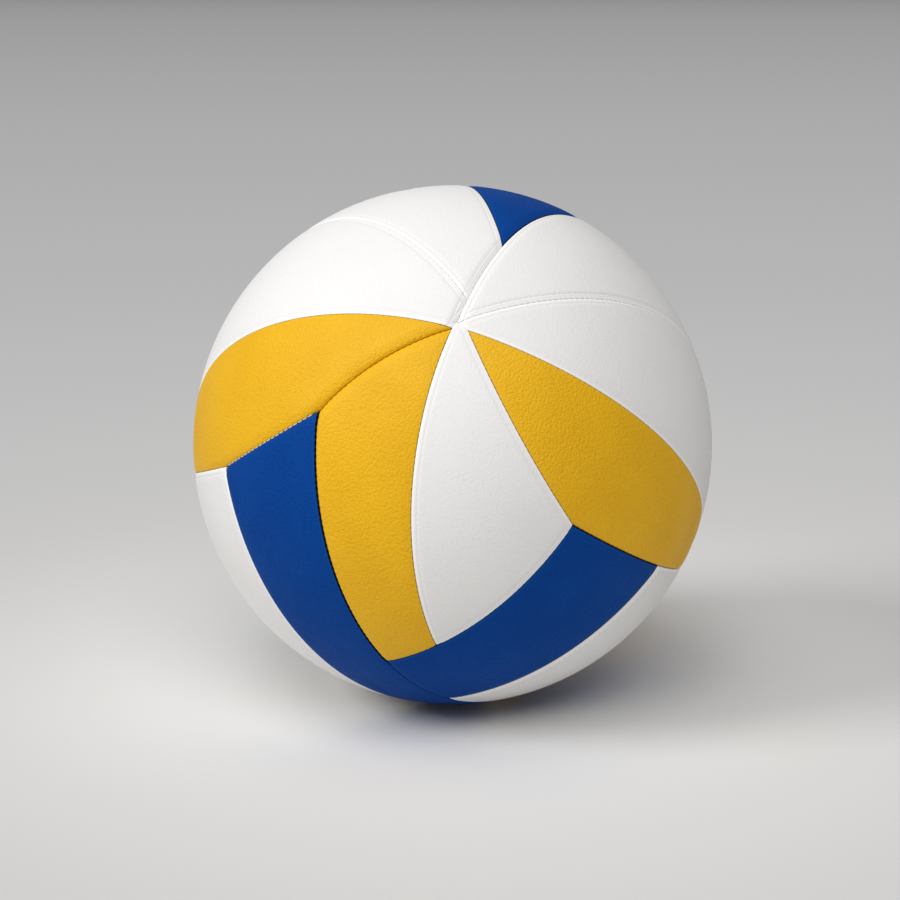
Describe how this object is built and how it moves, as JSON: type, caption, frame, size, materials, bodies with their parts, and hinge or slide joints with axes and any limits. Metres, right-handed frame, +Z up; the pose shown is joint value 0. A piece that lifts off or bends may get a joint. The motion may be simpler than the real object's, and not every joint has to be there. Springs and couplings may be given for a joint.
{
  "type": "volleyball",
  "caption": "Sewn volleyball with curved white, yellow and blue cover panels that meet in a star, padded over a wound bladder, with a needle valve at the back.",
  "frame": {"origin": "centre of the ball", "axes": "+Z up as pictured, the pictured side faces -Y, the valve points along +Y"},
  "size_m": [0.21, 0.2099, 0.21],
  "materials": {
    "white_synthetic_leather": "matt, fine pebble grain",
    "yellow_synthetic_leather": "matt, fine pebble grain",
    "blue_synthetic_leather": "matt, fine pebble grain",
    "foam": "matt closed-cell foam",
    "lining_cloth": "plain woven",
    "nylon_thread": "wound thread in latex",
    "bladder_rubber": "matt",
    "valve_rubber": "matt",
    "core_rubber": "matt",
    "sewing_thread": "twisted"
  },
  "bodies": {
    "root": {"air_bladder": "bladder_rubber", "cloth_lining": "lining_cloth", "front_blue_foam": "foam", "front_blue_panel": "blue_synthetic_leather", "front_white_foam": "foam", "front_white_panel": "white_synthetic_leather", "front_yellow_foam": "foam", "front_yellow_panel": "yellow_synthetic_leather", "left_blue_foam": "foam", "left_blue_panel": "blue_synthetic_leather", "left_white_foam": "foam", "left_white_panel": "white_synthetic_leather", "left_yellow_foam": "foam", "left_yellow_panel": "yellow_synthetic_leather", "low_left_white_foam": "foam", "low_left_white_panel": "white_synthetic_leather", "low_rear_white_foam": "foam", "low_rear_white_panel": "white_synthetic_leather", "low_right_blue_foam": "foam", "low_right_blue_panel": "blue_synthetic_leather", "low_right_white_foam": "foam", "low_right_white_panel": "white_synthetic_leather", "nylon_winding": "nylon_thread", "rear_blue_foam": "foam", "rear_blue_panel": "blue_synthetic_leather", "rear_white_foam": "foam", "rear_white_panel": "white_synthetic_leather", "rear_yellow_foam": "foam", "rear_yellow_panel": "yellow_synthetic_leather", "right_white_foam": "foam", "right_white_panel": "white_synthetic_leather", "right_yellow_foam": "foam", "right_yellow_panel": "yellow_synthetic_leather", "seam_thread": "sewing_thread", "top_blue_foam": "foam", "top_blue_panel": "blue_synthetic_leather", "top_white_foam": "foam", "top_white_panel": "white_synthetic_leather", "upper_right_white_foam": "foam", "upper_right_white_panel": "white_synthetic_leather", "valve_core": "core_rubber", "valve_housing": "valve_rubber", "valve_patch": "bladder_rubber"}
  },
  "joints": []
}
